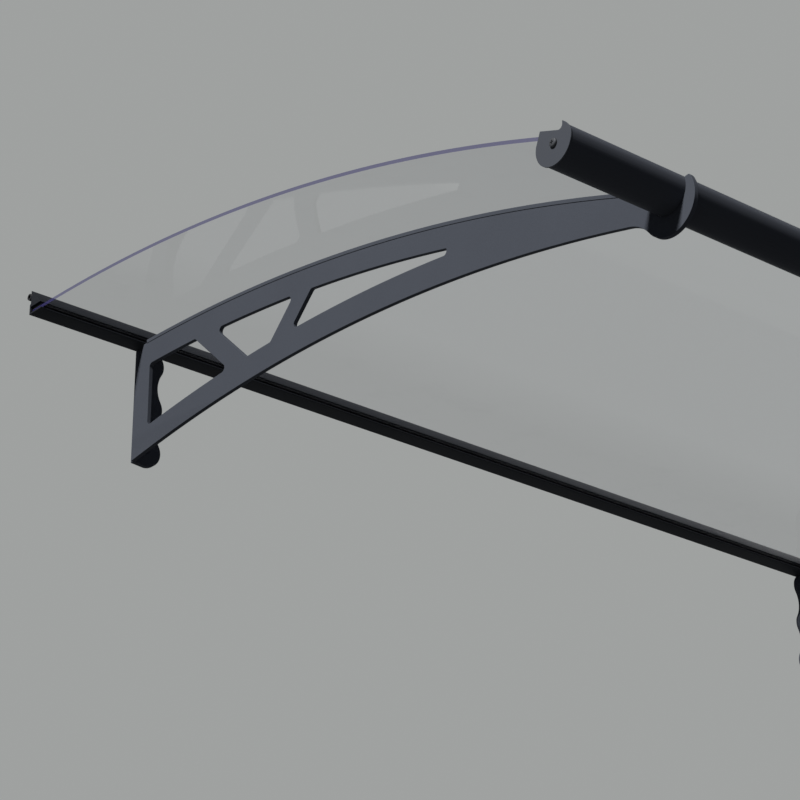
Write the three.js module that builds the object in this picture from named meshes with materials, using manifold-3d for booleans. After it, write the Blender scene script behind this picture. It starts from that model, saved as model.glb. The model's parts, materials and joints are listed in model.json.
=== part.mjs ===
// Arched canopy: back rail, clear sheet, front gutter and two open brackets.
// Millimetres, +Z up. The back faces lie in the plane y = 0 and the canopy reaches out along -Y.
// The origin is the middle of the rail's flat back face.
import * as THREE from 'three';
import { mergeVertices } from 'three/addons/utils/BufferGeometryUtils.js';
import Module from 'manifold-3d';

const wasm = await Module();
wasm.setup();

// Overall
const WIDTH_OVER_CAPS = 1500;
const GAP = 0.3;
const CURVE_TOLERANCE = 0.03;
const HOLE_SEGMENTS = 32;
const SCREW_SEGMENTS = 36;

// Sheet: an arc seen from the side. Distances "out" are from the back plane,
// heights are from the rail's lower back corner.
const SHEET_THICKNESS = 4;
const SHEET_RADIUS = 2586;
const SHEET_CREST_OUT = -56;
const SHEET_CREST_HEIGHT = 5;
const SHEET_BACK_OUT = 2.5;
const SHEET_FRONT_PLAY = 2;

// Back rail: its ends stand out a little past the end caps.
const RAIL_PAST_CAPS = 1;
const RAIL_LIP_OUT = 25.5;
const RAIL_LIP_THICKNESS = 2;
const RAIL_BACK_WALL = 2;
const RAIL_SLOT_HEIGHT = 7.8;
const RAIL_FOOT_HEIGHT = 12.6;
const RAIL_UPPER_LIP_OUT = 22.3;
const RAIL_UPPER_LIP_THICKNESS = 0.9;
const RAIL_HEIGHT = 31.1;
const RAIL_TOP_WIDTH = 0.6;
const RAIL_EDGE_RADIUS = 0.4;
const RAIL_HOLE_DIAMETER = 5.5;
const RAIL_HOLE_SPACING = 440;
const RAIL_HOLE_COUNT = 4;
const RAIL_GASKET_SETBACK = 0.8;
const RAIL_GASKET_RADIUS = 0.8;
const RAIL_GASKET_TAPER = 0.1;

// Bulb seal at the rail's back
const SEAL_HEIGHT = 25;
const SEAL_BULB_RADIUS = 4.2;
const SEAL_BULB_OUT = -2.6;
const SEAL_WALL = 1.5;
const SEAL_BEAD_RADIUS = 1.4;
const SEAL_BEAD_OUT = 4;
const SEAL_NECK = 1.6;

// Front gutter
const GUTTER_OUT = 916.3;
const GUTTER_BELOW_SHEET = 6.25;
const GUTTER_RADIUS = 22.9;
const GUTTER_WALL = 2;
const GUTTER_TOP_ABOVE_SHEET = 6.6;
const GUTTER_SLOT_ABOVE = 4.5;
const GUTTER_SLOT_BELOW = 4;
const GUTTER_SLOT_END = -6.8;
const GUTTER_BACK_CORNER = -18.4;
const GUTTER_BACK_FOOT_ANGLE = 167.7;
const GUTTER_LIP_TIP = [11.9, 16.65];
const GUTTER_LIP_FOOT_ANGLE = 11;
const GUTTER_LIP_RADIUS = 22.4;
const GUTTER_CHANNEL_RADIUS = 4.5;
const GUTTER_EDGE_RADIUS = 0.6;
const GUTTER_TIP_RADIUS = 0.4;
const GUTTER_SLOT_HALF_DEPTH = 6;
const GUTTER_GASKET_SETBACK = 4;
const GUTTER_GASKET_STEP = 2;
const SCREW_BOSS_RADIUS = 4.8;
const SCREW_BOSS_RIB = 2;

// End caps and their screws. A cap's rim stands out below and behind the gutter.
const CAP_THICKNESS = 1.5;
const CAP_RIM = 1.1;
const CAP_SHIFT = [-0.85, 0.7];
const CAP_LIP_TIP = [11.9, 18.8];
const CAP_LIP_RADIUS = 32;
const CAP_SCREW_RADIUS = 2.3;
const CAP_SCREW_LENGTH = 16;
const CAP_SCREW_POINT = [0.8, 1.4];
const CAP_SCREW_HEAD_RADIUS = 4.6;
const CAP_SCREW_HEAD_HEIGHT = 2.6;
const CAP_SCREW_RECESS = [4.4, 1.1, 1.5];

// Brackets
const BRACKET_OVERHANG = 146;
const PLATE_THICKNESS = 5;
const TOP_FLANGE_OVERHANG = 0.5;
const TOP_FLANGE_THICKNESS = 4.2;
const TOP_FLANGE_BACK_OUT = 32;
const PLATE_TOP_BACK_OUT = 25.5;
const PLATE_TOP = -2.5;
const PLATE_BACK_OUT = 8.5;
const PLATE_BACK_CURVE_HEIGHT = -79;
const PLATE_BOTTOM_RADIUS = 2174;
const PLATE_BOTTOM_CREST = [304, -131];
const TOP_CHORD_BACK = 36.5;
const TOP_CHORD_FRONT = 32.8;
const TOP_CHORD_RADIUS = 2420;
const BOTTOM_CHORD = 30.8;
const BACK_UPRIGHT_OUT = 39.6;
const STRUT_WIDTH = 25.7;
const FIRST_STRUT_FOOT = [218.4, -99.9];
const FIRST_STRUT_ANGLE = -43.5;
const SECOND_STRUT_FOOT = [302.4, -99.7];
const SECOND_STRUT_ANGLE = 44.8;
const FRONT_OPENING_END_OUT = 591.6;
const FRONT_OPENING_LOW_CORNER = 4.5;
const FRONT_OPENING_HIGH_CORNER = 1.6;
const OPENING_CORNER = 5;
const HOOK_CENTRE = [0.3, -10.9];
const HOOK_RADIUS = 34.4;
const HOOK_THROAT = 50;
const HOOK_TIP_ANGLE = 35.5;
const HOOK_TIP_INNER_ANGLE = 22;
const HOOK_TIP_CORNER = 1.8;
const HOOK_CLEARANCE = 0.3;

// Back flange of a bracket. Its outer edge stands in from the plate's outer face.
const FLANGE_THICKNESS = 6;
const FLANGE_TOP = -0.6;
const FLANGE_INSET = 5.5;
const FLANGE_CORNER_RISE = 1.5;
const LOBE_RADIUS = 20.5;
const LOBE_SPACING = 58;
const LOBE_COUNT = 3;
const FIRST_LOBE_HEIGHT = -14;
const LOBE_INSET = 22.6;
const LOBE_WAIST_RADIUS = 37;
const FLANGE_FILLET = 6;
const FLANGE_HOLE_DIAMETER = 5.5;
const FLANGE_COUNTERSINK_DIAMETER = 10;

// Derived values
const GUTTER_LENGTH = WIDTH_OVER_CAPS - 2 * CAP_THICKNESS - 2 * GAP;
const SHEET_WIDTH = GUTTER_LENGTH;
const RAIL_LENGTH = WIDTH_OVER_CAPS + 2 * RAIL_PAST_CAPS;
const sheetArc = {
  centre: new THREE.Vector2(SHEET_CREST_OUT, SHEET_CREST_HEIGHT - SHEET_RADIUS),
  radius: SHEET_RADIUS,
};
const bottomArc = {
  centre: new THREE.Vector2(PLATE_BOTTOM_CREST[0], PLATE_BOTTOM_CREST[1] - PLATE_BOTTOM_RADIUS),
  radius: PLATE_BOTTOM_RADIUS,
};

function offsetArc(arc, offset) {
  return { centre: arc.centre, radius: arc.radius + offset };
}

function onArc(arc, out) {
  const reach = out - arc.centre.x;
  return new THREE.Vector2(out, arc.centre.y + Math.sqrt(arc.radius ** 2 - reach ** 2));
}

const gutterCentre = onArc(sheetArc, GUTTER_OUT).sub(new THREE.Vector2(0, GUTTER_BELOW_SHEET));
const gutterArc = { centre: gutterCentre, radius: GUTTER_RADIUS };
const capArc = {
  centre: gutterCentre.clone().add(new THREE.Vector2(...CAP_SHIFT)),
  radius: GUTTER_RADIUS + CAP_RIM,
};
const hookArc = {
  centre: gutterCentre.clone().add(new THREE.Vector2(...HOOK_CENTRE)),
  radius: HOOK_RADIUS,
};

function onCircle({ centre, radius }, degrees) {
  const angle = THREE.MathUtils.degToRad(degrees);
  return new THREE.Vector2(centre.x + radius * Math.cos(angle), centre.y + radius * Math.sin(angle));
}

// Where a straight line through a point crosses an arc, at the crossing nearest to the point.
function lineOnArc(point, direction, arc) {
  const from = point.clone().sub(arc.centre);
  const along = from.dot(direction);
  const root = Math.sqrt(along ** 2 - from.lengthSq() + arc.radius ** 2);
  const near = Math.abs(-along + root) < Math.abs(-along - root) ? -along + root : -along - root;
  return point.clone().addScaledVector(direction, near);
}

// Crossing of two circles, on the side given by +1 or -1 of the line between their centres.
function circleCrossing(a, radiusA, b, radiusB, side) {
  const axis = b.clone().sub(a);
  const apart = axis.length();
  axis.normalize();
  const along = (radiusA ** 2 - radiusB ** 2 + apart ** 2) / (2 * apart);
  const across = Math.sqrt(radiusA ** 2 - along ** 2);
  const square = new THREE.Vector2(-axis.y, axis.x);
  return a.clone().addScaledVector(axis, along).addScaledVector(square, side * across);
}

// Arc of a given radius through two points, bulging to the right of the way between them.
function arcThrough(from, to, radius) {
  return { centre: circleCrossing(from, radius, to, radius, 1), radius };
}

function arcPoints(arc, start, end) {
  const first = start.clone().sub(arc.centre);
  const last = end.clone().sub(arc.centre);
  const sweep = Math.atan2(first.cross(last), first.dot(last));
  const step = 2 * Math.acos(1 - CURVE_TOLERANCE / arc.radius);
  const count = Math.max(1, Math.ceil(Math.abs(sweep) / step));
  const points = [];
  for (let i = 1; i <= count; i += 1) {
    points.push(start.clone().rotateAround(arc.centre, (sweep * i) / count));
  }
  return points;
}

// Direction of travel at one end of an edge, which is straight or follows an arc.
function travel(from, to, arc, at) {
  const chord = to.clone().sub(from).normalize();
  if (!arc) {
    return chord;
  }
  const radial = at.clone().sub(arc.centre).normalize();
  const tangent = new THREE.Vector2(-radial.y, radial.x);
  return tangent.dot(chord) < 0 ? tangent.negate() : tangent;
}

// Closed outline through corners. A corner has a rounding radius and, for a curved edge
// to the next corner, the arc which that edge follows.
function outline(corners) {
  const count = corners.length;
  const rounded = corners.map((corner, i) => {
    const before = corners[(i + count - 1) % count];
    const after = corners[(i + 1) % count];
    const into = travel(before.at, corner.at, before.arc, corner.at);
    const away = travel(corner.at, after.at, corner.arc, corner.at);
    const turn = Math.atan2(into.cross(away), into.dot(away));
    const radius = corner.radius ?? 0;
    if (radius === 0) {
      return { start: corner.at, end: corner.at };
    }
    const cut = radius * Math.tan(Math.abs(turn) / 2);
    const start = corner.at.clone().addScaledVector(into, -cut);
    const end = corner.at.clone().addScaledVector(away, cut);
    const inward = new THREE.Vector2(-into.y, into.x).multiplyScalar(Math.sign(turn) * radius);
    return { start, end, arc: { centre: start.clone().add(inward), radius } };
  });
  const points = [];
  rounded.forEach((corner, i) => {
    points.push(corner.start);
    if (corner.arc) {
      points.push(...arcPoints(corner.arc, corner.start, corner.end));
    }
    const next = rounded[(i + 1) % count];
    if (corners[i].arc) {
      points.push(...arcPoints(corners[i].arc, corner.end, next.start).slice(0, -1));
    }
  });
  return points;
}

function corner(at, radius, arc) {
  const place = Array.isArray(at) ? new THREE.Vector2(at[0], at[1]) : at;
  return { at: place, radius, arc };
}

function circleLoop(centre, radius) {
  return outline([0, 90, 180, 270].map((degrees) => (
    corner(onCircle({ centre, radius }, degrees), 0, { centre, radius })
  )));
}

// Straight bar of one section, centred on its length.
function bar(points, length, holes = []) {
  const shape = new THREE.Shape(points);
  holes.forEach((hole) => shape.holes.push(new THREE.Path(hole)));
  const geometry = new THREE.ExtrudeGeometry(shape, { depth: length, bevelEnabled: false });
  geometry.translate(0, 0, -length / 2);
  return geometry;
}

function toSolid(geometry) {
  geometry.deleteAttribute('normal');
  geometry.deleteAttribute('uv');
  const welded = mergeVertices(geometry, 1e-4);
  const index = welded.index.array;
  const triangles = [];
  for (let i = 0; i < index.length; i += 3) {
    const [a, b, c] = [index[i], index[i + 1], index[i + 2]];
    if (a !== b && b !== c && c !== a) {
      triangles.push(a, b, c);
    }
  }
  return new wasm.Manifold(new wasm.Mesh({
    numProp: 3,
    vertProperties: new Float32Array(welded.attributes.position.array),
    triVerts: new Uint32Array(triangles),
  }));
}

function toGeometry(solid) {
  const mesh = solid.getMesh();
  const geometry = new THREE.BufferGeometry();
  geometry.setAttribute('position', new THREE.BufferAttribute(new Float32Array(mesh.vertProperties), 3));
  geometry.setIndex(new THREE.BufferAttribute(new Uint32Array(mesh.triVerts), 1));
  geometry.computeVertexNormals();
  return geometry;
}

// Turned solid about the up direction. Its profile starts and ends on the axis.
function turned(profile, segments) {
  const points = profile.map(([radius, along]) => new THREE.Vector2(radius, along));
  return new THREE.LatheGeometry(points, segments);
}

const finish = (color, roughness, metalness) => (
  new THREE.MeshStandardMaterial({ color, roughness, metalness })
);
const anthracite = () => finish(0x4d525a, 0.5, 0.2);
const darkAnthracite = () => finish(0x33363b, 0.4, 0.3);
const rubber = () => finish(0x0c0d0e, 0.85, 0);
const steel = () => finish(0x55595f, 0.35, 0.7);
const clear = () => new THREE.MeshStandardMaterial({
  color: 0xe6e8f2,
  roughness: 0.05,
  metalness: 0,
  transparent: true,
  opacity: 0.2,
});

// In this group x is outward, y is up and z is to the left as seen from the front.
const assembly = new THREE.Group();
assembly.quaternion.setFromRotationMatrix(new THREE.Matrix4().makeBasis(
  new THREE.Vector3(0, -1, 0),
  new THREE.Vector3(0, 0, 1),
  new THREE.Vector3(-1, 0, 0),
));
assembly.position.z = -RAIL_FOOT_HEIGHT / 2;

function place(name, geometry, material) {
  const mesh = new THREE.Mesh(geometry, material);
  mesh.name = name;
  assembly.add(mesh);
  return mesh;
}

// The sheet and the strips that follow its curve.
function curvedStrip(innerOffset, outerOffset, backOut, frontOut, width) {
  const lower = offsetArc(sheetArc, innerOffset);
  const upper = offsetArc(sheetArc, outerOffset);
  return bar(outline([
    corner(onArc(lower, backOut), 0, lower),
    corner(onArc(lower, frontOut)),
    corner(onArc(upper, frontOut), 0, upper),
    corner(onArc(upper, backOut)),
  ]), width);
}

const SHEET_HALF = SHEET_THICKNESS / 2;
const SLOT_END_OUT = GUTTER_OUT + GUTTER_SLOT_END;
const SHEET_FRONT_OUT = SLOT_END_OUT - SHEET_FRONT_PLAY;
place(
  'roof_sheet',
  curvedStrip(-SHEET_HALF, SHEET_HALF, SHEET_BACK_OUT, SHEET_FRONT_OUT, SHEET_WIDTH),
  clear(),
);

// Back rail: the slot follows the sheet's slope at its back edge.
function sheetHeight(out, offset) {
  return onArc(offsetArc(sheetArc, offset), out).y;
}

function railSection() {
  const slotFloorFront = sheetHeight(RAIL_LIP_OUT, -SHEET_HALF - GAP);
  const slotFloorBack = sheetHeight(RAIL_BACK_WALL, -SHEET_HALF - GAP);
  const roofFront = sheetHeight(RAIL_UPPER_LIP_OUT, -SHEET_HALF - GAP) + RAIL_SLOT_HEIGHT;
  const roofBack = slotFloorBack + RAIL_SLOT_HEIGHT;
  return {
    roofFront,
    roofBack,
    points: outline([
      corner([0, 0]),
      corner([RAIL_LIP_OUT, slotFloorFront - RAIL_LIP_THICKNESS], RAIL_EDGE_RADIUS),
      corner([RAIL_LIP_OUT, slotFloorFront], RAIL_EDGE_RADIUS),
      corner([RAIL_BACK_WALL, slotFloorBack]),
      corner([RAIL_BACK_WALL, roofBack]),
      corner([RAIL_UPPER_LIP_OUT, roofFront], RAIL_EDGE_RADIUS),
      corner([RAIL_UPPER_LIP_OUT, roofFront + RAIL_UPPER_LIP_THICKNESS], RAIL_EDGE_RADIUS),
      corner([RAIL_BACK_WALL + RAIL_TOP_WIDTH, RAIL_HEIGHT], RAIL_EDGE_RADIUS),
      corner([RAIL_BACK_WALL, RAIL_HEIGHT]),
      corner([RAIL_BACK_WALL, RAIL_FOOT_HEIGHT + RAIL_BACK_WALL], RAIL_EDGE_RADIUS),
      corner([0, RAIL_FOOT_HEIGHT]),
    ]),
  };
}

const rail = railSection();

function sealSection(grow) {
  const bead = new THREE.Vector2(SEAL_BEAD_OUT, SEAL_HEIGHT);
  const bulb = new THREE.Vector2(SEAL_BULB_OUT, SEAL_HEIGHT);
  const half = SEAL_NECK / 2 + grow;
  const beadRadius = SEAL_BEAD_RADIUS + grow;
  const beadReach = Math.sqrt(beadRadius ** 2 - half ** 2);
  const bulbReach = Math.sqrt(SEAL_BULB_RADIUS ** 2 - half ** 2);
  const beadArc = { centre: bead, radius: beadRadius };
  const bulbArc = { centre: bulb, radius: SEAL_BULB_RADIUS };
  return outline([
    corner([bulb.x + bulbReach, bulb.y - half]),
    corner([bead.x - beadReach, bead.y - half], 0, beadArc),
    corner(onCircle(beadArc, 0), 0, beadArc),
    corner([bead.x - beadReach, bead.y + half]),
    corner([bulb.x + bulbReach, bulb.y + half], 0, bulbArc),
    corner(onCircle(bulbArc, 120), 0, bulbArc),
    corner(onCircle(bulbArc, 240), 0, bulbArc),
  ]);
}

function makeRail() {
  let solid = toSolid(bar(rail.points, RAIL_LENGTH));
  solid = solid.subtract(toSolid(bar(sealSection(GAP), RAIL_LENGTH + 20)));
  const first = -((RAIL_HOLE_COUNT - 1) * RAIL_HOLE_SPACING) / 2;
  for (let i = 0; i < RAIL_HOLE_COUNT; i += 1) {
    const radius = RAIL_HOLE_DIAMETER / 2;
    const hole = new THREE.CylinderGeometry(radius, radius, 3 * RAIL_BACK_WALL, HOLE_SEGMENTS);
    hole.rotateZ(Math.PI / 2);
    hole.translate(0, RAIL_FOOT_HEIGHT / 2, first + i * RAIL_HOLE_SPACING);
    solid = solid.subtract(toSolid(hole));
  }
  return toGeometry(solid);
}

place('wall_rail', makeRail(), darkAnthracite());
place(
  'wall_rail_seal',
  bar(sealSection(0), RAIL_LENGTH, [
    circleLoop(new THREE.Vector2(SEAL_BULB_OUT, SEAL_HEIGHT), SEAL_BULB_RADIUS - SEAL_WALL),
  ]),
  rubber(),
);

// Gasket that fills the rail's slot above the sheet.
const gasketFront = RAIL_UPPER_LIP_OUT - RAIL_GASKET_SETBACK;
place(
  'rail_gasket',
  bar(outline([
    corner([SHEET_BACK_OUT, sheetHeight(SHEET_BACK_OUT, SHEET_HALF + GAP)]),
    corner([gasketFront, sheetHeight(gasketFront, SHEET_HALF + GAP)], RAIL_GASKET_RADIUS),
    corner([gasketFront, rail.roofFront - GAP], RAIL_GASKET_RADIUS),
    corner([SHEET_BACK_OUT, rail.roofBack - GAP - RAIL_GASKET_TAPER]),
  ]), SHEET_WIDTH),
  rubber(),
);

// Gutter section. Its top and its slot lie along the sheet's slope at the front.
const slotMiddle = onArc(sheetArc, SLOT_END_OUT - GUTTER_SLOT_HALF_DEPTH);
const sheetUp = slotMiddle.clone().sub(sheetArc.centre).normalize();
const sheetAlong = new THREE.Vector2(sheetUp.y, -sheetUp.x);

// Point by distance along the sheet from the slot's middle and by height above the sheet's middle.
function bySheet(along, above) {
  return slotMiddle.clone().addScaledVector(sheetAlong, along).addScaledVector(sheetUp, above);
}

// Point of the gutter's top surface at a given distance out.
function topSurface(out) {
  const start = bySheet(0, GUTTER_TOP_ABOVE_SHEET);
  return start.clone().addScaledVector(sheetAlong, (out - start.x) / sheetAlong.x);
}

const lipTip = gutterCentre.clone().add(new THREE.Vector2(...GUTTER_LIP_TIP));
const capLipTip = gutterCentre.clone().add(new THREE.Vector2(...CAP_LIP_TIP));
const lipFoot = onCircle(gutterArc, GUTTER_LIP_FOOT_ANGLE);
const backFoot = onCircle(gutterArc, GUTTER_BACK_FOOT_ANGLE);

// Round below the given circle, with a flat top behind the curved front lip.
function gutterOutline(circle, tip, lipRadius) {
  const foot = onCircle(circle, GUTTER_LIP_FOOT_ANGLE);
  return outline([
    corner(topSurface(GUTTER_OUT + GUTTER_BACK_CORNER), GUTTER_EDGE_RADIUS),
    corner(onCircle(circle, GUTTER_BACK_FOOT_ANGLE), 0, circle),
    corner(onCircle(circle, 230), 0, circle),
    corner(onCircle(circle, 300), 0, circle),
    corner(foot, 0, arcThrough(foot, tip, lipRadius)),
    corner(tip, GUTTER_TIP_RADIUS),
    corner(topSurface(tip.x), GUTTER_CHANNEL_RADIUS),
  ]);
}

// Long block along the gutter, given by its reach along and above the sheet.
function sheetBlock(alongFrom, alongTo, aboveFrom, aboveTo, length) {
  return bar([
    bySheet(alongFrom, aboveFrom),
    bySheet(alongTo, aboveFrom),
    bySheet(alongTo, aboveTo),
    bySheet(alongFrom, aboveTo),
  ], length);
}

function makeGutter() {
  const past = 20;
  const far = 60;
  const longer = GUTTER_LENGTH + past;
  const slotEnd = (SLOT_END_OUT - slotMiddle.x) / sheetAlong.x;
  const slotFloor = GUTTER_SLOT_BELOW + GUTTER_WALL;
  let hollow = toSolid(bar(circleLoop(gutterCentre, GUTTER_RADIUS - GUTTER_WALL), longer));
  hollow = hollow.subtract(toSolid(
    sheetBlock(-far, slotEnd + GUTTER_WALL, -slotFloor, far, longer + past),
  ));
  hollow = hollow.subtract(toSolid(
    sheetBlock(-far, far, GUTTER_TOP_ABOVE_SHEET - GUTTER_WALL, far, longer + past),
  ));
  const lipAlong = lipTip.clone().sub(lipFoot).normalize();
  const lipInward = new THREE.Vector2(-lipAlong.y, lipAlong.x);
  const lipInside = lipFoot.clone().addScaledVector(lipInward, GUTTER_WALL);
  hollow = hollow.subtract(toSolid(bar([
    lipInside.clone().addScaledVector(lipAlong, -far),
    lipInside.clone().addScaledVector(lipAlong, -far).addScaledVector(lipInward, -far),
    lipInside.clone().addScaledVector(lipAlong, far).addScaledVector(lipInward, -far),
    lipInside.clone().addScaledVector(lipAlong, far),
  ], longer + past)));
  hollow = hollow.subtract(toSolid(bar(circleLoop(gutterCentre, SCREW_BOSS_RADIUS), longer + past)));
  const rib = new THREE.BoxGeometry(SCREW_BOSS_RIB, GUTTER_RADIUS, longer + past);
  rib.translate(gutterCentre.x, gutterCentre.y - GUTTER_RADIUS / 2, 0);
  hollow = hollow.subtract(toSolid(rib));
  const slotCorner = bySheet(slotEnd, -slotFloor + GUTTER_WALL / 2);
  const ribAcross = slotCorner.clone().sub(gutterCentre).setLength(SCREW_BOSS_RIB / 2);
  ribAcross.set(-ribAcross.y, ribAcross.x);
  hollow = hollow.subtract(toSolid(bar([
    gutterCentre.clone().add(ribAcross),
    slotCorner.clone().add(ribAcross),
    slotCorner.clone().sub(ribAcross),
    gutterCentre.clone().sub(ribAcross),
  ], longer + past)));
  let solid = toSolid(bar(gutterOutline(gutterArc, lipTip, GUTTER_LIP_RADIUS), GUTTER_LENGTH));
  solid = solid.subtract(hollow);
  solid = solid.subtract(toSolid(
    sheetBlock(-far, slotEnd, -GUTTER_SLOT_BELOW, GUTTER_SLOT_ABOVE, longer),
  ));
  return toGeometry(solid.subtract(toSolid(
    bar(circleLoop(gutterCentre, CAP_SCREW_RADIUS + GAP), longer),
  )));
}

place('front_gutter', makeGutter(), darkAnthracite());

// Strips that hold the sheet's edge in the gutter's slot, above and below it.
const stripBack = backFoot.x + GUTTER_GASKET_SETBACK;
const stripFront = SHEET_FRONT_OUT - GUTTER_GASKET_STEP;
place(
  'gutter_gasket_upper',
  curvedStrip(
    SHEET_HALF + GAP,
    GUTTER_SLOT_ABOVE - 2 * GAP,
    stripBack + GUTTER_GASKET_STEP,
    stripFront,
    SHEET_WIDTH,
  ),
  rubber(),
);
place(
  'gutter_gasket_lower',
  curvedStrip(
    -GUTTER_SLOT_BELOW + GAP,
    -SHEET_HALF - GAP,
    stripBack,
    stripFront,
    SHEET_WIDTH,
  ),
  rubber(),
);

// Left and right piece of a mirrored pair. The geometry is the left one's.
function placePair(name, geometry, material, distance) {
  const left = place(`${name}_left`, geometry, material());
  left.position.z = distance;
  const right = place(`${name}_right`, geometry, material());
  right.position.z = -distance;
  right.scale.z = -1;
}

// End caps close the gutter's section. Each is held by one screw in the gutter's boss.
const capInside = WIDTH_OVER_CAPS / 2 - CAP_THICKNESS;
const cap = bar(
  gutterOutline(capArc, capLipTip, CAP_LIP_RADIUS),
  CAP_THICKNESS,
  [circleLoop(gutterCentre, CAP_SCREW_RADIUS + GAP)],
);
placePair('end_cap', cap, anthracite, capInside + CAP_THICKNESS / 2);

// Pan-head screw with a cross recess, its head outside the cap.
function makeCapScrew() {
  const radius = CAP_SCREW_HEAD_RADIUS;
  const height = CAP_SCREW_HEAD_HEIGHT;
  const seat = CAP_THICKNESS + GAP;
  const [pointStep, pointLength] = CAP_SCREW_POINT;
  let solid = toSolid(turned([
    [0, seat - CAP_SCREW_LENGTH],
    [CAP_SCREW_RADIUS - pointStep, seat - CAP_SCREW_LENGTH],
    [CAP_SCREW_RADIUS, seat - CAP_SCREW_LENGTH + pointLength],
    [CAP_SCREW_RADIUS, seat],
    [radius, seat],
    [radius, seat + 0.35 * height],
    [radius * 0.94, seat + 0.62 * height],
    [radius * 0.8, seat + 0.83 * height],
    [radius * 0.55, seat + 0.95 * height],
    [0, seat + height],
  ], SCREW_SEGMENTS));
  const [length, width, depth] = CAP_SCREW_RECESS;
  [[length, width], [width, length]].forEach(([across, along]) => {
    const slot = new THREE.BoxGeometry(across, 2 * depth, along);
    slot.translate(0, seat + height, 0);
    solid = solid.subtract(toSolid(slot));
  });
  const geometry = toGeometry(solid);
  geometry.rotateX(Math.PI / 2);
  geometry.translate(gutterCentre.x, gutterCentre.y, 0);
  return geometry;
}

placePair('end_cap_screw', makeCapScrew(), steel, capInside);

// Bracket plate seen from the side, with the hook round the gutter at its front.
const flangeArc = offsetArc(sheetArc, -SHEET_HALF - GAP);
const cradle = offsetArc(gutterArc, HOOK_CLEARANCE);
const plateFrontOut = cradle.centre.x - cradle.radius;

function plateOutline() {
  const throat = circleCrossing(
    hookArc.centre,
    HOOK_RADIUS + HOOK_THROAT,
    bottomArc.centre,
    bottomArc.radius - HOOK_THROAT,
    -1,
  );
  const throatArc = { centre: throat, radius: HOOK_THROAT };
  const throatStart = bottomArc.centre.clone()
    .add(throat.clone().sub(bottomArc.centre).setLength(bottomArc.radius));
  const throatEnd = hookArc.centre.clone()
    .add(throat.clone().sub(hookArc.centre).setLength(HOOK_RADIUS));
  const curveRise = PLATE_TOP - PLATE_BACK_CURVE_HEIGHT;
  const curveReach = PLATE_TOP_BACK_OUT - PLATE_BACK_OUT;
  const backRadius = (curveRise ** 2 + curveReach ** 2) / (2 * curveReach);
  const backArc = {
    centre: new THREE.Vector2(PLATE_BACK_OUT + backRadius, PLATE_BACK_CURVE_HEIGHT),
    radius: backRadius,
  };
  return outline([
    corner(onArc(bottomArc, PLATE_BACK_OUT), 0, bottomArc),
    corner(throatStart, 0, throatArc),
    corner(throatEnd, 0, hookArc),
    corner(onCircle(hookArc, 270), 0, hookArc),
    corner(onCircle(hookArc, 340), 0, hookArc),
    corner(onCircle(hookArc, HOOK_TIP_ANGLE), HOOK_TIP_CORNER),
    corner(onCircle(cradle, HOOK_TIP_INNER_ANGLE), HOOK_TIP_CORNER, cradle),
    corner(onCircle(cradle, -60), 0, cradle),
    corner(onCircle(cradle, -120), 0, cradle),
    corner([plateFrontOut, cradle.centre.y]),
    corner(onArc(flangeArc, plateFrontOut), 0, flangeArc),
    corner(onArc(flangeArc, TOP_FLANGE_BACK_OUT)),
    corner([TOP_FLANGE_BACK_OUT, PLATE_TOP]),
    corner([PLATE_TOP_BACK_OUT, PLATE_TOP], 0, backArc),
    corner([PLATE_BACK_OUT, PLATE_BACK_CURVE_HEIGHT]),
  ]);
}

// The three openings lie between a top chord that tapers a little to the front, a bottom chord
// that follows the lower edge, the back upright and two struts.
const upperEdge = arcThrough(
  onArc(offsetArc(sheetArc, -TOP_CHORD_FRONT), FRONT_OPENING_END_OUT),
  onArc(offsetArc(sheetArc, -TOP_CHORD_BACK), BACK_UPRIGHT_OUT),
  TOP_CHORD_RADIUS,
);
const lowerEdge = offsetArc(bottomArc, BOTTOM_CHORD);

// Both edges of a strut, as a point at its foot and the strut's direction.
function strut(foot, degrees) {
  const angle = THREE.MathUtils.degToRad(degrees);
  const direction = new THREE.Vector2(Math.cos(angle), Math.sin(angle));
  const across = new THREE.Vector2(Math.abs(direction.y), -direction.x * Math.sign(direction.y));
  const middle = new THREE.Vector2(...foot);
  const climb = 60 * Math.sign(direction.y);
  const atSide = (side) => {
    const point = middle.clone().addScaledVector(across, (side * STRUT_WIDTH) / 2);
    const high = point.clone().addScaledVector(direction, climb);
    return {
      low: lineOnArc(point, direction, lowerEdge),
      high: lineOnArc(high, direction, upperEdge),
    };
  };
  return { back: atSide(-1), front: atSide(1) };
}

function openings() {
  const first = strut(FIRST_STRUT_FOOT, FIRST_STRUT_ANGLE);
  const second = strut(SECOND_STRUT_FOOT, SECOND_STRUT_ANGLE);
  const loop = (low, high, frontHigh, frontLow) => outline([
    corner(low, OPENING_CORNER, lowerEdge),
    corner(frontLow, OPENING_CORNER),
    corner(frontHigh, OPENING_CORNER, upperEdge),
    corner(high, OPENING_CORNER),
  ]);
  const endLow = onArc(lowerEdge, FRONT_OPENING_END_OUT);
  const endHigh = onArc(upperEdge, FRONT_OPENING_END_OUT);
  return [
    loop(
      onArc(lowerEdge, BACK_UPRIGHT_OUT),
      onArc(upperEdge, BACK_UPRIGHT_OUT),
      first.back.high,
      first.back.low,
    ),
    loop(first.front.low, first.front.high, second.back.high, second.back.low),
    outline([
      corner(second.front.low, OPENING_CORNER, lowerEdge),
      corner(endLow, FRONT_OPENING_LOW_CORNER),
      corner(endHigh, FRONT_OPENING_HIGH_CORNER, upperEdge),
      corner(second.front.high, OPENING_CORNER),
    ]),
  ];
}

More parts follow.
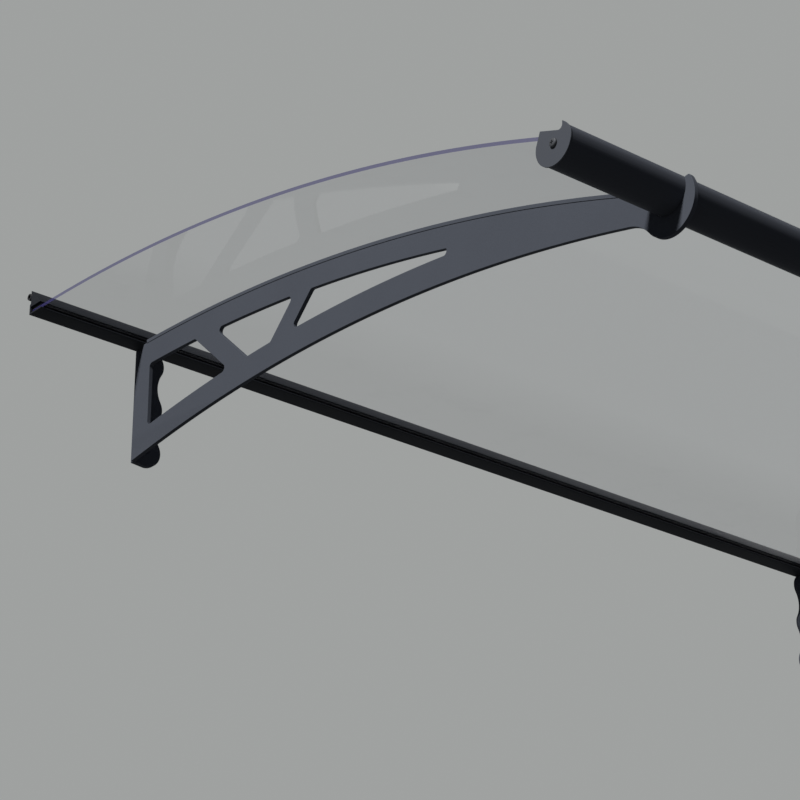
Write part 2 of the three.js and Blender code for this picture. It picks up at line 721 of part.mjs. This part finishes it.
// Back flange seen from the front: x runs inward from the bracket's outer face, y is up.
function flangeOutline() {
  const lobe = (i) => new THREE.Vector2(LOBE_INSET, FIRST_LOBE_HEIGHT - i * LOBE_SPACING);
  const lobeArc = (i) => ({ centre: lobe(i), radius: LOBE_RADIUS });
  const topReach = Math.sqrt(LOBE_RADIUS ** 2 - (FLANGE_TOP - FIRST_LOBE_HEIGHT) ** 2);
  const bottom = lobe(LOBE_COUNT - 1).y - LOBE_RADIUS;
  const corners = [
    corner([FLANGE_INSET, FLANGE_TOP]),
    corner([FLANGE_INSET, bottom + FLANGE_CORNER_RISE]),
    corner([LOBE_INSET, bottom], 0, lobeArc(LOBE_COUNT - 1)),
  ];
  for (let i = LOBE_COUNT - 1; i > 0; i -= 1) {
    const reach = LOBE_RADIUS + LOBE_WAIST_RADIUS;
    const waist = circleCrossing(lobe(i), reach, lobe(i - 1), reach, -1);
    const waistArc = { centre: waist, radius: LOBE_WAIST_RADIUS };
    corners.push(corner([LOBE_INSET + LOBE_RADIUS, lobe(i).y], 0, lobeArc(i)));
    corners.push(corner(lobe(i).lerp(waist, LOBE_RADIUS / reach), 0, waistArc));
    corners.push(corner(lobe(i - 1).lerp(waist, LOBE_RADIUS / reach), 0, lobeArc(i - 1)));
  }
  corners.push(corner([LOBE_INSET + topReach, FLANGE_TOP]));
  return outline(corners);
}

// Left bracket, centred on its plate: the outer face is at +z and the back flange reaches to -z.
function makeBracket() {
  const half = PLATE_THICKNESS / 2;
  const overlap = 1;
  const topOffset = -SHEET_HALF - GAP;
  let solid = toSolid(bar(plateOutline(), PLATE_THICKNESS, openings()));
  solid = solid.add(toSolid(curvedStrip(
    topOffset - TOP_FLANGE_THICKNESS,
    topOffset,
    TOP_FLANGE_BACK_OUT,
    plateFrontOut,
    PLATE_THICKNESS + 2 * TOP_FLANGE_OVERHANG,
  )));
  const flange = new THREE.ExtrudeGeometry(
    new THREE.Shape(flangeOutline()),
    { depth: FLANGE_THICKNESS, bevelEnabled: false },
  );
  flange.rotateY(Math.PI / 2);
  flange.translate(0, 0, half);
  solid = solid.add(toSolid(flange));

  const lobeBottom = FIRST_LOBE_HEIGHT - (LOBE_COUNT - 1) * LOBE_SPACING - LOBE_RADIUS;
  const filletBottom = lobeBottom + FLANGE_CORNER_RISE;
  const filletHeight = PLATE_BACK_CURVE_HEIGHT - filletBottom;
  const filletCentre = new THREE.Vector2(FLANGE_THICKNESS + FLANGE_FILLET, -half - FLANGE_FILLET);
  const fillet = bar(outline([
    corner([FLANGE_THICKNESS - overlap, -half + overlap]),
    corner([FLANGE_THICKNESS - overlap, filletCentre.y]),
    corner([FLANGE_THICKNESS, filletCentre.y], 0, { centre: filletCentre, radius: FLANGE_FILLET }),
    corner([filletCentre.x, -half]),
    corner([filletCentre.x, -half + overlap]),
  ]), filletHeight);
  fillet.rotateX(Math.PI / 2);
  fillet.translate(0, filletBottom + filletHeight / 2, 0);
  solid = solid.add(toSolid(fillet));

  for (let i = 0; i < LOBE_COUNT; i += 1) {
    const drill = FLANGE_HOLE_DIAMETER / 2;
    const sink = FLANGE_COUNTERSINK_DIAMETER / 2;
    const hole = turned([
      [0, -overlap],
      [drill, -overlap],
      [drill, FLANGE_THICKNESS - (sink - drill)],
      [sink, FLANGE_THICKNESS],
      [sink + overlap, FLANGE_THICKNESS + overlap],
      [0, FLANGE_THICKNESS + overlap],
    ], HOLE_SEGMENTS);
    hole.rotateZ(-Math.PI / 2);
    hole.translate(0, FIRST_LOBE_HEIGHT - i * LOBE_SPACING, half - LOBE_INSET);
    solid = solid.subtract(toSolid(hole));
  }
  return toGeometry(solid);
}

const bracketMiddle = WIDTH_OVER_CAPS / 2 - BRACKET_OVERHANG - PLATE_THICKNESS / 2;
placePair('bracket', makeBracket(), anthracite, bracketMiddle);

const canopy = new THREE.Group();
canopy.name = 'door_canopy';
canopy.add(assembly);

export default canopy;
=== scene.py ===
"""Arched canopy: finishes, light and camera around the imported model."""

import json
import math

import bpy
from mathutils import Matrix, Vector

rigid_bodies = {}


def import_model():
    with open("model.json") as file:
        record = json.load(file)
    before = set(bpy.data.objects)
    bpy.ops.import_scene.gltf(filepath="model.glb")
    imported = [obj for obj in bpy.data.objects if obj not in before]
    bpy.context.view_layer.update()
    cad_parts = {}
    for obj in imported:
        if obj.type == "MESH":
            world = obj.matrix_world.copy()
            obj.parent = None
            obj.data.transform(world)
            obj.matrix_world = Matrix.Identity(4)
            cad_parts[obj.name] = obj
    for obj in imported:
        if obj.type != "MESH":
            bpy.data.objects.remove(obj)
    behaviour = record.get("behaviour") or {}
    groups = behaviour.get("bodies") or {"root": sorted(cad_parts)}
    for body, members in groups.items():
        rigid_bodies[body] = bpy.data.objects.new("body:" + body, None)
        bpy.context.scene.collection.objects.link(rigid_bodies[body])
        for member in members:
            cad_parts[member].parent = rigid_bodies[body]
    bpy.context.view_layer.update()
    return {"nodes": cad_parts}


for leftover in list(bpy.data.objects):
    bpy.data.objects.remove(leftover)
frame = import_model()
nodes = frame["nodes"]
scene = bpy.context.scene

# Linear colours
WHITE = (1.0, 1.0, 1.0)
BLACK = (0.0, 0.0, 0.0)
BRACKET_GREY = (0.081, 0.0885, 0.1055)
CAP_GREY = (0.078, 0.084, 0.098)
GUTTER_GREY = (0.075, 0.081, 0.096)
RAIL_GREY = (0.0225, 0.0243, 0.0288)
RUBBER_BLACK = (0.0275, 0.0275, 0.03)
STEEL_GREY = (0.085, 0.089, 0.097)
SHEET_TINT = (0.982, 0.983, 0.988)
SHEET_REFLECTION = (0.93, 0.94, 0.97)
SHEET_END_VIOLET = (0.025, 0.018, 0.135)
BACKDROP_GREY = (0.348, 0.358, 0.353)
FLOOR_GREY = (0.33, 0.335, 0.335)

# Plain ranges. Most values of a noise lie in the noise span.
EVEN = (1.0, 1.0, 1.0)
RISING = (0.0, 1.0)
FALLING = (1.0, 0.0)
NOISE_SPAN = (0.3, 0.7)

# Finishes: scales are per metre, lengths in metres, and tones are shares of a finish's own colour.
GRAIN_DETAIL = 2.0

# Paint and moulded plastic
COAT_SLOW_SCALE = 5.0
COAT_SLOW_DETAIL = 4.0
COAT_TONES = (0.94, 1.05)
COAT_SMOOTHER = 0.04
COAT_ROUGHER = 0.05
COAT_BUMP = 0.35
SPECKLE_COVER = (0.0, 0.35)
SPECKLE_TONE = 1.18
EDGE_RADIUS = 0.0007
EDGE_SAMPLES = 6
EDGE_FACING = (0.99, 0.85)
# Lighter edges: partly wear, partly a painted highlight on the rounded edges.
WEAR_AND_HIGHLIGHT_SCALE = 60.0
WEAR_AND_HIGHLIGHT_DETAIL = 5.0
WEAR_AND_HIGHLIGHT_SPAN = (0.4, 0.65)
WEAR_AND_HIGHLIGHT_COVER = (0.15, 0.7)
WEAR_AND_HIGHLIGHT_TONE = 1.7
EXTRUDED_GRAIN = {"grain_scale": 900.0, "grain_depth": 0.0002, "stretch": (0.01, 1.0, 1.0)}
CAST_GRAIN = {"grain_scale": 650.0, "grain_depth": 0.0003}
MOULDED_GRAIN = {"grain_scale": 1100.0, "grain_depth": 0.0002}

# Rubber
BLOOM_SCALE = 35.0
BLOOM_DETAIL = 4.0
BLOOM_SPAN = (0.35, 0.75)
BLOOM_TONE = 1.8
RUBBER_ROUGHNESS = (0.72, 0.88)
RUBBER_SHINE = 0.05
RUBBER_BUMP = 0.3
RUBBER_GRAIN_SCALE = 1400.0
RUBBER_GRAIN_DEPTH = 0.0003

# Plated steel
CLOUD_SCALE = 260.0
CLOUD_DETAIL = 5.0
CLOUD_TONES = (0.8, 1.2)
STEEL_METALLIC = 0.3
STEEL_SHINE = 0.1
STEEL_ROUGHNESS = (0.45, 0.6)
STEEL_BUMP = 0.2
STEEL_GRAIN_SCALE = 1800.0
STEEL_GRAIN_DEPTH = 0.0002

# Clear sheet: the painted shade on the underside's reflection starts and is full at two places on the Y
# axis.
SHEET_IOR = 1.49
SHEET_ROUGHNESS = (0.02, 0.06)
SMEAR_SCALE = 7.0
SMEAR_DETAIL = 6.0
FRESNEL_SPAN = (0.04, 1.0)
GLOSS_COVER = (0.03, 0.46)
MARK_SCALE = 16.0
MARK_DETAIL = 8.0
MARK_BREAKUP = 0.65
MARK_SPAN = (0.52, 0.8)
MARK_COVER = (0.0, 0.035)
PAINTED_SHADE_PLACES = (-0.28, -0.14)
PAINTED_SHADE_COVER = (0.0, 0.97)
CUT_END_FACING = 0.9
CUT_END_COVER = 0.68
CUT_END_ROUGHNESS = 0.35
SAW_STRETCH = (1.0, 900.0, 30.0)
SAW_SCALE = 1.0
SAW_TONES = (0.75, 1.25)

# Smooth shading: the angle is in degrees.
JOIN_DISTANCE = 0.000005
SHARP_ANGLE = 24.0
SQUARE_FACING = 0.999

# Light: directions point from the object to the lamp, and a spread is a lamp's width in degrees.
KEY_DIRECTION = (-0.69, -0.20, 0.69)
KEY_STRENGTH = 4.05
KEY_SPREAD = 9.0
FILL_DIRECTION = (0.85, 0.30, 0.42)
FILL_STRENGTH = 1.6
FILL_SPREAD = 30.0
AMBIENT = (0.048, 0.054, 0.068)

# Backdrop: heights are those of a direction of length one.
HORIZON_HEIGHTS = (0.0, 0.25)
HORIZON_TONE = 1.35
OVERHEAD_HEIGHTS = (0.565, 0.61)
OVERHEAD_TONE = 0.1

# Floor
FLOOR_HEIGHT = -5.0
FLOOR_REACH = 60.0
FLOOR_MOTTLE_SCALE = 0.8
FLOOR_TONES = (0.98, 1.02)
FLOOR_BOUNCE_TONE = 0.2
FLOOR_ROUGHNESS = 0.9

# Camera: turns are in degrees, the lens and the sensor's width in millimetres.
CAMERA_PLACE = (-2.1885, -2.4550, -1.4667)
CAMERA_TURN = (115.63, 0.0, -39.24)
CAMERA_LENS = 120.15
CAMERA_SENSOR = 36.0
CAMERA_REACH = 200.0


class Graph:
    """Adds nodes to a tree. An input is set from a number, a vector, a colour or another node's socket."""

    def __init__(self, tree):
        self.tree = tree

    def feed(self, socket, value):
        if isinstance(value, bpy.types.NodeSocket):
            self.tree.links.new(value, socket)
        elif isinstance(value, tuple) and socket.type == "RGBA":
            socket.default_value = (*value, 1.0)
        else:
            socket.default_value = value

    def add(self, kind, inputs=None, **settings):
        node = self.tree.nodes.new(kind)
        for name, value in settings.items():
            setattr(node, name, value)
        for name, value in (inputs or {}).items():
            self.feed(node.inputs[name], value)
        return node

    def math(self, operation, first, second=0.0, clamp=False):
        node = self.add("ShaderNodeMath", {0: first, 1: second}, operation=operation, use_clamp=clamp)
        return node.outputs[0]

    def blend(self, factor, first, second):
        node = self.add("ShaderNodeMix", {0: factor, 6: first, 7: second}, data_type="RGBA")
        return node.outputs[2]

    def tones(self, factor, colour, ends):
        return self.blend(factor, tone(colour, ends[0]), tone(colour, ends[1]))

    def remap(self, value, span, ends=RISING):
        inputs = {0: value, 1: span[0], 2: span[1], 3: ends[0], 4: ends[1]}
        return self.add("ShaderNodeMapRange", inputs).outputs[0]

    def split(self, vector):
        return self.add("ShaderNodeSeparateXYZ", {0: vector}).outputs

    def place(self, scale=EVEN):
        coordinates = self.add("ShaderNodeTexCoord").outputs["Object"]
        return self.add("ShaderNodeMapping", {"Vector": coordinates, "Scale": scale}).outputs[0]

    def noise(self, place, scale, detail=3.0, roughness=0.5):
        inputs = {"Vector": place, "Scale": scale, "Detail": detail, "Roughness": roughness}
        return self.add("ShaderNodeTexNoise", inputs).outputs["Fac"]

    def bump(self, height, strength, depth, normal=None):
        inputs = {"Strength": strength, "Distance": depth, "Height": height}
        if normal is not None:
            inputs["Normal"] = normal
        return self.add("ShaderNodeBump", inputs).outputs[0]


def tone(colour, share):
    return tuple(channel * share for channel in colour)


def new_material(name):
    material = bpy.data.materials.new(name)
    material.use_nodes = True
    shader = material.node_tree.nodes["Principled BSDF"]
    return material, Graph(material.node_tree), shader


def coated(name, colour, roughness, shine, grain_scale, grain_depth, stretch=EVEN):
    """Paint or moulded plastic: slow shade changes, a fine grain, and lighter edges: wear and a painted
    highlight.
    """
    material, graph, shader = new_material(name)
    place = graph.place()
    slow = graph.remap(graph.noise(place, COAT_SLOW_SCALE, COAT_SLOW_DETAIL), NOISE_SPAN)
    grain = graph.noise(graph.place(stretch), grain_scale, GRAIN_DETAIL)
    rounded = graph.add("ShaderNodeBevel", {"Radius": EDGE_RADIUS}, samples=EDGE_SAMPLES).outputs[0]
    straight = graph.add("ShaderNodeNewGeometry").outputs["Normal"]
    facing = graph.add("ShaderNodeVectorMath", {0: rounded, 1: straight}, operation="DOT_PRODUCT")
    edge = graph.remap(facing.outputs["Value"], EDGE_FACING)
    wear_and_highlight = graph.remap(graph.noise(place, WEAR_AND_HIGHLIGHT_SCALE, WEAR_AND_HIGHLIGHT_DETAIL), WEAR_AND_HIGHLIGHT_SPAN, WEAR_AND_HIGHLIGHT_COVER)
    shade = graph.tones(slow, colour, COAT_TONES)
    speckle = graph.remap(grain, NOISE_SPAN, SPECKLE_COVER)
    shade = graph.blend(speckle, shade, tone(colour, SPECKLE_TONE))
    # Lighter edges: partly wear, partly a painted highlight on the rounded edges.
    shade = graph.blend(graph.math("MULTIPLY", edge, wear_and_highlight), shade, tone(colour, WEAR_AND_HIGHLIGHT_TONE))
    graph.feed(shader.inputs["Base Color"], shade)
    rough = graph.remap(slow, RISING, (roughness - COAT_SMOOTHER, roughness + COAT_ROUGHER))
    graph.feed(shader.inputs["Roughness"], rough)
    shader.inputs["Specular IOR Level"].default_value = shine
    graph.feed(shader.inputs["Normal"], graph.bump(grain, COAT_BUMP, grain_depth, rounded))
    return material


def rubber():
    """Black rubber with a faint pale bloom."""
    material, graph, shader = new_material("black_rubber")
    place = graph.place()
    slow = graph.noise(place, BLOOM_SCALE, BLOOM_DETAIL)
    grain = graph.noise(place, RUBBER_GRAIN_SCALE, GRAIN_DETAIL)
    bloom = graph.remap(slow, BLOOM_SPAN)
    shade = graph.blend(bloom, RUBBER_BLACK, tone(RUBBER_BLACK, BLOOM_TONE))
    graph.feed(shader.inputs["Base Color"], shade)
    graph.feed(shader.inputs["Roughness"], graph.remap(slow, NOISE_SPAN, RUBBER_ROUGHNESS))
    shader.inputs["Specular IOR Level"].default_value = RUBBER_SHINE
    graph.feed(shader.inputs["Normal"], graph.bump(grain, RUBBER_BUMP, RUBBER_GRAIN_DEPTH))
    return material


def plated_steel():
    """Dull plated steel with cloudy tones."""
    material, graph, shader = new_material("plated_steel")
    place = graph.place()
    cloud = graph.noise(place, CLOUD_SCALE, CLOUD_DETAIL)
    grain = graph.noise(place, STEEL_GRAIN_SCALE, GRAIN_DETAIL)
    graph.feed(shader.inputs["Base Color"], graph.tones(cloud, STEEL_GREY, CLOUD_TONES))
    shader.inputs["Metallic"].default_value = STEEL_METALLIC
    shader.inputs["Specular IOR Level"].default_value = STEEL_SHINE
    graph.feed(shader.inputs["Roughness"], graph.remap(cloud, NOISE_SPAN, STEEL_ROUGHNESS))
    graph.feed(shader.inputs["Normal"], graph.bump(grain, STEEL_BUMP, STEEL_GRAIN_DEPTH))
    return material


def clear_sheet():
    """Clear sheet: glossy faces, violet cut ends and a painted shade on its underside's reflection near the
    rail.
    """
    material, graph, shader = new_material("clear_sheet")
    place = graph.place()
    geometry = graph.add("ShaderNodeNewGeometry")
    normal = graph.split(geometry.outputs["True Normal"])
    cut_end = graph.math("GREATER_THAN", graph.math("ABSOLUTE", normal["X"]), CUT_END_FACING)
    outside = graph.math("SUBTRACT", 1.0, geometry.outputs["Backfacing"])
    fresnel = graph.add("ShaderNodeFresnel", {"IOR": SHEET_IOR}).outputs[0]
    gloss = graph.remap(fresnel, FRESNEL_SPAN, GLOSS_COVER)
    underneath = graph.math("LESS_THAN", normal["Z"], 0.0)
    near_rail = graph.remap(graph.split(place)["Y"], PAINTED_SHADE_PLACES, PAINTED_SHADE_COVER)
    painted_shade = graph.math("MULTIPLY", near_rail, underneath)
    # Painted shade: near the rail the underside's reflection colour goes to black.
    reflection = graph.blend(painted_shade, SHEET_REFLECTION, BLACK)
    marks = graph.remap(graph.noise(place, MARK_SCALE, MARK_DETAIL, MARK_BREAKUP), MARK_SPAN, MARK_COVER)
    face = graph.math("MULTIPLY", graph.math("ADD", gloss, marks), outside)
    end = graph.math("MULTIPLY", cut_end, CUT_END_COVER)
    opacity = graph.math("MAXIMUM", face, end, clamp=True)
    saw = graph.noise(graph.place(SAW_STRETCH), SAW_SCALE, GRAIN_DETAIL)
    violet = graph.tones(saw, SHEET_END_VIOLET, SAW_TONES)
    graph.feed(shader.inputs["Base Color"], graph.blend(cut_end, reflection, violet))
    graph.feed(shader.inputs["Metallic"], graph.math("SUBTRACT", 1.0, cut_end))
    smear = graph.remap(graph.noise(place, SMEAR_SCALE, SMEAR_DETAIL), NOISE_SPAN, SHEET_ROUGHNESS)
    sawn = graph.math("MULTIPLY", cut_end, CUT_END_ROUGHNESS)
    graph.feed(shader.inputs["Roughness"], graph.math("MAXIMUM", smear, sawn))
    tint = graph.blend(cut_end, SHEET_TINT, WHITE)
    through = graph.add("ShaderNodeBsdfTransparent", {"Color": tint})
    mixed = graph.add("ShaderNodeMixShader", {0: opacity, 1: through.outputs[0], 2: shader.outputs[0]})
    output = material.node_tree.nodes["Material Output"]
    graph.feed(output.inputs["Surface"], mixed.outputs[0])
    return material


def smooth_shading():
    """Joins a node's triangles and smooths its round faces. Sharp edges and faces square to X stay flat."""
    tree = bpy.data.node_groups.new("smooth_shading", "GeometryNodeTree")
    for direction in ("INPUT", "OUTPUT"):
        tree.interface.new_socket("Geometry", in_out=direction, socket_type="NodeSocketGeometry")
    graph = Graph(tree)
    start = graph.add("NodeGroupInput").outputs[0]
    joined = graph.add("GeometryNodeMergeByDistance", {"Geometry": start, "Distance": JOIN_DISTANCE})
    angle = graph.add("GeometryNodeInputMeshEdgeAngle").outputs["Unsigned Angle"]
    limit = math.radians(SHARP_ANGLE)
    sharp = graph.add("FunctionNodeCompare", {0: angle, 1: limit}, operation="GREATER_THAN")
    facing = graph.split(graph.add("GeometryNodeInputNormal").outputs[0])
    along = graph.math("ABSOLUTE", facing["X"])
    square = graph.add("FunctionNodeCompare", {0: along, 1: SQUARE_FACING}, operation="GREATER_THAN")
    shaded = graph.add(
        "GeometryNodeSetMeshNormal",
        {
            "Mesh": joined.outputs[0],
            "Remove Custom": True,
            "Edge Sharpness": sharp.outputs[0],
            "Face Sharpness": square.outputs[0],
        },
        mode="SHARPNESS",
    )
    end = graph.add("NodeGroupOutput")
    graph.feed(end.inputs[0], shaded.outputs[0])
    return tree


finishes = {
    "roof_sheet": clear_sheet(),
    "wall_rail": coated("rail_paint", RAIL_GREY, roughness=0.6, shine=0.045, **EXTRUDED_GRAIN),
    "front_gutter": coated("gutter_paint", GUTTER_GREY, roughness=0.42, shine=0.008, **EXTRUDED_GRAIN),
    "bracket": coated("bracket_paint", BRACKET_GREY, roughness=0.55, shine=0.008, **CAST_GRAIN),
    "end_cap": coated("cap_plastic", CAP_GREY, roughness=0.58, shine=0.06, **MOULDED_GRAIN),
    "end_cap_screw": plated_steel(),
    "wall_rail_seal": rubber(),
}
for name in ("rail_gasket", "gutter_gasket_upper", "gutter_gasket_lower"):
    finishes[name] = finishes["wall_rail_seal"]

shading = smooth_shading()
for name, node in nodes.items():
    kind = name.removesuffix("_left").removesuffix("_right")
    for material_slot in node.material_slots:
        material_slot.material = finishes[kind]
    node.modifiers.new("smooth_shading", "NODES").node_group = shading


def make_floor():
    """A wide pale floor far below. It throws little light back onto the object."""
    mesh = bpy.data.meshes.new("floor")
    sides = ((-1, -1), (1, -1), (1, 1), (-1, 1))
    corners = [(x * FLOOR_REACH, y * FLOOR_REACH, FLOOR_HEIGHT) for x, y in sides]
    mesh.from_pydata(corners, [], [(0, 1, 2, 3)])
    material, graph, shader = new_material("pale_floor")
    path = graph.add("ShaderNodeLightPath")
    pale = graph.tones(graph.noise(graph.place(), FLOOR_MOTTLE_SCALE), FLOOR_GREY, FLOOR_TONES)
    colour = graph.blend(path.outputs["Is Diffuse Ray"], pale, tone(FLOOR_GREY, FLOOR_BOUNCE_TONE))
    graph.feed(shader.inputs["Base Color"], colour)
    shader.inputs["Roughness"].default_value = FLOOR_ROUGHNESS
    shader.inputs["Specular IOR Level"].default_value = 0.0
    mesh.materials.append(material)
    floor = bpy.data.objects.new("floor", mesh)
    scene.collection.objects.link(floor)


def make_world():
    """A pale backdrop for the camera, reflections and clear parts, lighter low down and dark overhead."""
    world = bpy.data.worlds.new("studio")
    world.use_nodes = True
    scene.world = world
    graph = Graph(world.node_tree)
    path = graph.add("ShaderNodeLightPath")
    seen = graph.math("MAXIMUM", path.outputs["Is Camera Ray"], path.outputs["Is Glossy Ray"])
    seen = graph.math("MAXIMUM", seen, path.outputs["Is Transmission Ray"])
    height = graph.split(graph.add("ShaderNodeTexCoord").outputs["Generated"])["Z"]
    low = graph.remap(height, HORIZON_HEIGHTS, FALLING)
    backdrop = graph.blend(low, BACKDROP_GREY, tone(BACKDROP_GREY, HORIZON_TONE))
    high = graph.remap(height, OVERHEAD_HEIGHTS)
    backdrop = graph.blend(high, backdrop, tone(BACKDROP_GREY, OVERHEAD_TONE))
    background = world.node_tree.nodes["Background"]
    graph.feed(background.inputs["Color"], graph.blend(seen, AMBIENT, backdrop))


def make_sun(name, direction, strength, spread):
    lamp = bpy.data.lights.new(name, "SUN")
    lamp.energy = strength
    lamp.angle = math.radians(spread)
    sun = bpy.data.objects.new(name, lamp)
    sun.rotation_euler = Vector(direction).to_track_quat("Z", "Y").to_euler()
    scene.collection.objects.link(sun)


def make_camera():
    data = bpy.data.cameras.new("camera")
    data.lens = CAMERA_LENS
    data.sensor_width = CAMERA_SENSOR
    data.clip_end = CAMERA_REACH
    camera = bpy.data.objects.new("camera", data)
    camera.location = CAMERA_PLACE
    camera.rotation_euler = [math.radians(turn) for turn in CAMERA_TURN]
    scene.collection.objects.link(camera)
    scene.camera = camera


make_floor()
make_world()
make_sun("key", KEY_DIRECTION, KEY_STRENGTH, KEY_SPREAD)
make_sun("fill", FILL_DIRECTION, FILL_STRENGTH, FILL_SPREAD)
make_camera()
scene.view_settings.view_transform = "Standard"
